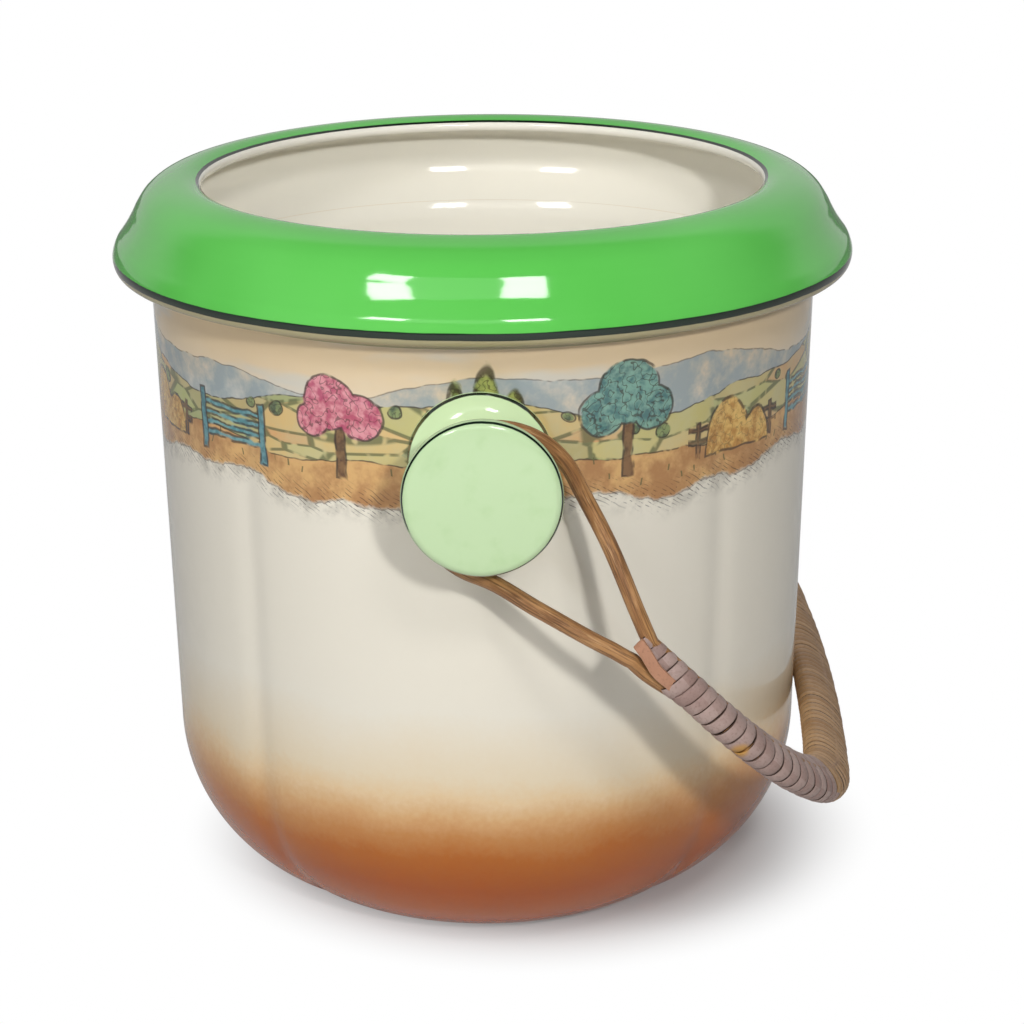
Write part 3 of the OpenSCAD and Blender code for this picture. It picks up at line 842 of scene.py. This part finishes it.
def strip_tree():
    """Geometry nodes that lay a domed strip along a wound line, its crown turned outwards."""
    tree = bpy.data.node_groups.new("wound_strip", "GeometryNodeTree")
    takes = {"Line": "Geometry", "Dome radius": "Float", "Dome sweep": "Float", "Dome start": "Float",
             "Dome drop": "Vector", "Finish": "Material"}
    for name, kind in takes.items():
        tree.interface.new_socket(name, in_out="INPUT", socket_type="NodeSocket" + kind)
    tree.interface.new_socket("Strip", in_out="OUTPUT", socket_type="NodeSocketGeometry")

    def add(kind, pins, sets=None):
        made = tree.nodes.new(kind)
        for name, value in (sets or {}).items():
            setattr(made, name, value)
        for name, value in pins.items():
            if isinstance(value, bpy.types.NodeSocket):
                tree.links.new(value, made.inputs[name])
            else:
                made.inputs[name].default_value = value
        return made.outputs[0] if len(made.outputs) else None

    given = tree.nodes.new("NodeGroupInput").outputs
    line = add("GeometryNodeMeshToCurve", {"Mesh": given["Line"]})
    out = add("GeometryNodeInputNamedAttribute", {"Name": "out"}, {"data_type": "FLOAT_VECTOR"})
    line = add("GeometryNodeSetCurveNormal", {"Curve": line, "Normal": out}, {"mode": "FREE"})
    arc = {"Resolution": DOME_POINTS, "Radius": given["Dome radius"], "Start Angle": given["Dome start"],
           "Sweep Angle": given["Dome sweep"]}
    dome = add("GeometryNodeCurveArc", arc)
    along_dome = add("GeometryNodeSplineParameter", {})
    from_middle = add("ShaderNodeMath", {0: along_dome, 1: 0.5}, {"operation": "SUBTRACT"})
    from_middle = add("ShaderNodeMath", {0: from_middle}, {"operation": "ABSOLUTE"})
    dome = add("GeometryNodeStoreNamedAttribute", {"Geometry": dome, "Name": "edge", "Value": from_middle},
               {"data_type": "FLOAT", "domain": "POINT"})
    dome = add("GeometryNodeTransform", {"Geometry": dome, "Translation": given["Dome drop"]})
    dome = add("GeometryNodeSetSplineCyclic", {"Geometry": dome, "Cyclic": True})
    strip = add("GeometryNodeCurveToMesh", {"Curve": line, "Profile Curve": dome, "Fill Caps": True})
    strip = add("GeometryNodeSetShadeSmooth", {"Geometry": strip, "Shade Smooth": True})
    strip = add("GeometryNodeRealizeInstances", {"Geometry": strip})
    strip = add("GeometryNodeSetMaterial", {"Geometry": strip, "Material": given["Finish"]})
    add("NodeGroupOutput", {"Strip": strip})
    return tree


wound_strip = strip_tree()


def wind(name, start, turns, seed, finish):
    """One unbroken strip wound round the bundle, each turn a little out of true."""
    draw = np.random.default_rng(seed)
    jitter = draw.uniform(-1, 1, (turns + 2, 3))
    points, outs, counts = [], [], []
    for i in range(turns * TURN_POINTS + 1):
        turn = i / TURN_POINTS
        k, share = int(turn), turn - int(turn)
        lean = jitter[k] * (1 - share) + jitter[k + 1] * share
        along = start + turn * TURN_PITCH + STRAY_ALONG * lean[0]
        a = 2 * math.pi * turn + TURN_START
        reach_out = bundle_out(along) + STRIP_LIFT + STRAY_OUT * lean[1]
        reach_across = STRAND_N + CANE_R - STRIP_SINK + STRAY_ACROSS * lean[1]
        if math.sin(a) < 0:
            bound = smooth(*LOOSE_TURNS, min(along, GRIP_L - along))
            reach_across = ONE_STRAND + (reach_across - ONE_STRAND + slack(arch(along)[0])) * bound
        out = reach_out * math.copysign(abs(math.cos(a)) ** OVAL_POWER, math.cos(a))
        across = reach_across * math.copysign(abs(math.sin(a)) ** OVAL_POWER, math.sin(a))
        heading = arch(along)[2]
        points.append(Vector(on_grip(along, out, across)) * MM)
        away = (math.cos(a) / reach_out, math.sin(a) / reach_across)
        size = math.hypot(*away)
        c, d = math.cos(REST_DROP), math.sin(REST_DROP)
        in_plane = np.array([math.sin(heading) * c, -math.cos(heading), -math.sin(heading) * d])
        outs.append(in_plane * away[0] / size + np.array([d, 0, c]) * away[1] / size)
        counts.append(turn)
    mesh = bpy.data.meshes.new(name)
    mesh.from_pydata(points, [(i, i + 1) for i in range(len(points) - 1)], [])
    ways = mesh.attributes.new("out", "FLOAT_VECTOR", "POINT")
    ways.data.foreach_set("vector", np.array(outs, np.float32).ravel())
    marks = mesh.attributes.new("turn", "FLOAT", "POINT")
    marks.data.foreach_set("value", np.array(counts, np.float32))
    piece = bpy.data.objects.new(name, mesh)
    bpy.context.scene.collection.objects.link(piece)
    dome_r = (STRIP_W ** 2 / 4 + STRIP_DOME ** 2) / (2 * STRIP_DOME)
    half = math.asin(STRIP_W / 2 / dome_r)
    values = {"Dome radius": dome_r * MM, "Dome sweep": 2 * half, "Dome start": -half,
              "Dome drop": (-dome_r * math.cos(half) * MM, 0.0, 0.0), "Finish": finish}
    modifier = piece.modifiers.new("wound_strip", "NODES")
    modifier.node_group = wound_strip
    for item in wound_strip.interface.items_tree:
        if item.in_out == "INPUT" and item.name in values:
            modifier[item.identifier] = values[item.name]
    graph = bpy.context.evaluated_depsgraph_get()
    wound = piece.evaluated_get(graph)
    laid = bpy.data.meshes.new_from_object(wound, preserve_all_data_layers=True, depsgraph=graph)
    piece.modifiers.clear()
    piece.data = laid
    return piece


GAP_SHADE = colour(58, 40, 28)


def strip_finish(name, light, mid, dark, shade_lines=(0.405, 0.445), bold=(-1.0, 1.0), spots=()):
    """Split cane: a tone for each turn, painted shade along its edges in the gaps between turns, and worn
    spots where they are given.
    """
    finish, shader, pen = new_finish(name, 0.45)
    turn = pen.node("ShaderNodeAttribute", sets={"attribute_name": "turn"}, out="Fac")
    each = pen.node("ShaderNodeTexWhiteNoise", {"W": turn.floor()}, {"noise_dimensions": "1D"})
    stain = pen.noise(55.0, 3.0, 0.6)
    streak = pen.noise(900.0, 2.0, 0.6)
    tone = (stain * 0.7 + each * 0.3).ease(0.3, 0.7).mix(mid, light)
    tone = (streak.ease(0.5, 0.75) * 0.35).mix(tone, dark)
    edge = pen.node("ShaderNodeAttribute", sets={"attribute_name": "edge"}, out="Fac")
    # Painted shade along the strip's edges, in the gaps between turns, on the turns that bold picks.
    tone = ((edge + (stain - 0.5) * 0.05).ease(*shade_lines) * each.ease(*bold)).mix(tone, GAP_SHADE)
    for centre, size, tint in spots:
        here = pen.place((1000.0, 1000.0, 1000.0))
        far = here.node("ShaderNodeVectorMath", {0: here, 1: centre}, {"operation": "DISTANCE"}, "Value")
        tone = ((far + (stain - 0.5) * size).ease(size, size * 0.6) * 0.9).mix(tone, tint)
    feed(shader, "Base Color", tone)
    feed(shader, "Roughness", streak * 0.25 + 0.34)
    feed(shader, "Normal", bump(pen, streak, 0.0004, 0.35))
    return finish


WORN = (((89.6, -177.0, 118.0), 4.5, colour(186, 138, 66)),
        ((106.0, -168.0, 104.0), 1.3, colour(196, 70, 52)))
TAUPE = (colour(174, 151, 143), colour(152, 126, 118), colour(102, 76, 68))
BROWN = (colour(186, 148, 106), colour(156, 119, 80), colour(102, 70, 44))
taupe_strip = strip_finish("taupe_strip", *TAUPE, spots=WORN)
brown_strip = strip_finish("brown_strip", *BROWN, shade_lines=(0.28, 0.42), bold=(0.2, 0.9))
for node, start, turns, seed, finish, slot in (
        ("front_binding", FRONT_FROM, FRONT_TURNS, 11, taupe_strip, "front_strip"),
        ("back_binding", FRONT_FROM + FRONT_TURNS * TURN_PITCH, BACK_TURNS, 12, brown_strip, "back_strip")):
    piece = wind(node + "_strip", start, turns, seed, finish)
    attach(piece, "bail")
    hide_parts(node)

# Locking slips
# A flat sliver of cane laid along the grip at each throat and caught under the first turns, so that
# the end of the binding can't slip back. Its free end is folded over.
SLIP_W = 4.8
SLIP_T = 0.9
SLIP_N = (0.8, -1.8)
SLIP_LINE = ((-1.0, 1.2), (-3.2, 1.8), (-4.0, 3.2), (-3.2, 4.6), (-1.2, 5.1), (2.0, 5.2), (6.0, 5.4),
             (10.5, 5.5), (13.5, 4.9), (17.0, 4.2))

# The slip takes the same painted shade along its edges.
slip_finish = strip_finish("slip_cane", colour(186, 138, 110), colour(166, 118, 92), colour(118, 80, 60))
slip_line = flowing(SLIP_LINE, 6)
for node, side in (("front_locking_slip", -1), ("back_locking_slip", 1)):
    points, faces = [], []
    ways = np.gradient(np.array(slip_line), axis=0)
    for (a, out), way in zip(slip_line, ways):
        up = np.array((-way[1], way[0])) / np.hypot(*way) * SLIP_T / 2
        for lift, across in ((-1, -1), (-1, 1), (1, 0.9), (1.25, 0.0), (1, -0.9)):
            s, o = a + up[0] * lift, out + up[1] * lift
            middle = SLIP_N[0] + (SLIP_N[1] - SLIP_N[0]) * smooth(-4.0, 9.0, a)
            points.append(in_bail(THROAT_S + s, side * (HALF_W + o), middle + across * SLIP_W / 2))
    count = len(slip_line)
    for k in range(count - 1):
        for j in range(5):
            m = (j + 1) % 5
            faces.append((5 * k + j, 5 * k + m, 5 * k + 5 + m, 5 * k + 5 + j))
    faces += [(4, 3, 2, 1, 0), tuple(5 * (count - 1) + j for j in range(5))]
    piece = new_mesh(node + "_sliver", points, faces)
    piece.data.materials.append(slip_finish)
    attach(piece, "bail")
    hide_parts(node)

# Studio
# A plain white floor, two small softboxes and a panel that show in the glaze, a small key at the right, low
# light from the left and from the front, panels overhead and behind, a little fill, and the camera.
FLOOR_HALF = 6
FLOOR_GREY = 0.6
SHADOW_AT = (0.018, 0.03, 0.0)
SHADOW_FADE = (0.085, 0.15)
SHADOW_GLOW = 0.08
FLOOR_IN_GLAZE = 0.15
FILL = 0.02
WALL_FADE = (0.3, 0.6)
WALL_IN_GLAZE = 0.6
floor_mesh = bpy.data.meshes.new("floor")
corners = [(x * FLOOR_HALF, y * FLOOR_HALF, 0) for x, y in ((-1, -1), (1, -1), (1, 1), (-1, 1))]
floor_mesh.from_pydata(corners, [], [(0, 1, 2, 3)])
floor = bpy.data.objects.new("floor", floor_mesh)
bpy.context.scene.collection.objects.link(floor)
floor_finish = bpy.data.materials.new("floor_white")
floor_finish.use_nodes = True
pen = Tint(floor_finish.node_tree)
plain = floor_finish.node_tree.nodes["Principled BSDF"]
plain.inputs["Base Color"].default_value = (FLOOR_GREY, FLOOR_GREY, FLOOR_GREY, 1.0)
plain.inputs["Roughness"].default_value = 0.9
here = pen.place((1.0, 1.0, 0.0))
far = here.node("ShaderNodeVectorMath", {0: here, 1: SHADOW_AT}, {"operation": "DISTANCE"}, "Value")
far = far.ease(*SHADOW_FADE)
path = pen.node("ShaderNodeLightPath", out="Is Camera Ray")
shiny = pen.node("ShaderNodeLightPath", out="Is Glossy Ray")
glow = pen.node("ShaderNodeEmission", {"Color": (1, 1, 1, 1), "Strength": SHADOW_GLOW})
white = pen.node("ShaderNodeEmission", {"Color": (1, 1, 1, 1), "Strength": 1.0})
plain = Tint(pen.tree, plain.outputs[0])
clear = pen.node("ShaderNodeLightPath", out="Is Transmission Ray")
lit = pen.node("ShaderNodeAddShader", {0: plain, 1: glow})
lit = pen.node("ShaderNodeMixShader", {0: path, 1: plain, 2: lit})
share = path.most(shiny * FLOOR_IN_GLAZE).most(clear) * far
both = pen.node("ShaderNodeMixShader", {0: share, 1: lit, 2: white})
pen.tree.links.new(both.socket, floor_finish.node_tree.nodes["Material Output"].inputs["Surface"])
floor_mesh.materials.append(floor_finish)

world = bpy.data.worlds.new("studio")
bpy.context.scene.world = world
world.use_nodes = True
pen = Tint(world.node_tree)
seen = pen.node("ShaderNodeLightPath", out="Is Camera Ray")
shiny = pen.node("ShaderNodeLightPath", out="Is Glossy Ray")
fill = pen.node("ShaderNodeBackground", {"Color": (1, 1, 1, 1), "Strength": FILL})
white = pen.node("ShaderNodeBackground", {"Color": (1, 1, 1, 1), "Strength": 1.0})
clear = pen.node("ShaderNodeLightPath", out="Is Transmission Ray")
behind = pen.node("ShaderNodeTexCoord", out="Generated").split()[1]
walls = pen.node("ShaderNodeMixShader", {0: behind.ease(*WALL_FADE) * WALL_IN_GLAZE, 1: fill, 2: white})
both = pen.node("ShaderNodeMixShader", {0: shiny, 1: fill, 2: walls})
both = pen.node("ShaderNodeMixShader", {0: seen.most(clear), 1: both, 2: white})
world.node_tree.links.new(both.socket, world.node_tree.nodes["World Output"].inputs["Surface"])

LAMP_FAR = 1.6
PANEL_FAR = 1.7
LAMP_AIM = Vector((0, -0.14, 0.27))
LAMPS = (("left_softbox", -35.6, 41.0, (0.33, 0.28), 4.2, True),
         ("right_softbox", 16.0, 41.5, (0.33, 0.28), 4.2, True),
         ("right_key", 14.4, 22.4, (0.1, 0.1), 12.0, False),
         ("left_side", -56.0, 12.0, (0.9, 0.7), 6.2, False),
         ("front_panel", -10.0, 40.0, (1.7, 0.42), 1.9, True),
         ("low_panel", 0.0, 12.0, (0.8, 0.4), 1.2, False),
         ("top_panel", 0.0, 89.0, (1.0, 1.0), 5.0, False),
         ("back_panel", 180.0, 14.0, (1.2, 1.2), 10.0, False))
for name, azimuth, elevation, size, watts, mirrored in LAMPS:
    lamp = bpy.data.lights.new(name, "AREA")
    lamp.shape = "RECTANGLE"
    lamp.size, lamp.size_y = size
    lamp.energy = watts
    stand = bpy.data.objects.new(name, lamp)
    a, e = math.radians(azimuth), math.radians(elevation)
    away = Vector((math.sin(a) * math.cos(e), -math.cos(a) * math.cos(e), math.sin(e)))
    stand.location = LAMP_AIM + away * (LAMP_FAR if size[0] < 1 else PANEL_FAR)
    stand.rotation_euler = away.to_track_quat("Z", "Y").to_euler()
    stand.visible_glossy = mirrored
    bpy.context.scene.collection.objects.link(stand)

LENS_PX = 3104.4
FRAME_PX = 1024
PITCH, YAW, ROLL = 0.3101, 0.0090, 0.0073
CAMERA_AT = (0, -1.2, 0.5339)
lens = bpy.data.cameras.new("camera")
lens.sensor_width = 36.0
lens.lens = LENS_PX * lens.sensor_width / FRAME_PX
camera = bpy.data.objects.new("camera", lens)
ahead = Vector((math.sin(YAW), math.cos(YAW), 0))
right = Vector((math.cos(YAW), -math.sin(YAW), 0))
up = math.sin(PITCH) * ahead + Vector((0, 0, math.cos(PITCH)))
forward = math.cos(PITCH) * ahead - Vector((0, 0, math.sin(PITCH)))
tilted_right = math.cos(ROLL) * right - math.sin(ROLL) * up
tilted_up = math.sin(ROLL) * right + math.cos(ROLL) * up
turned_to = Matrix((tilted_right, tilted_up, -forward)).transposed().to_4x4()
camera.matrix_world = Matrix.Translation(CAMERA_AT) @ turned_to
bpy.context.scene.collection.objects.link(camera)
bpy.context.scene.camera = camera
bpy.context.scene.view_settings.view_transform = "Standard"
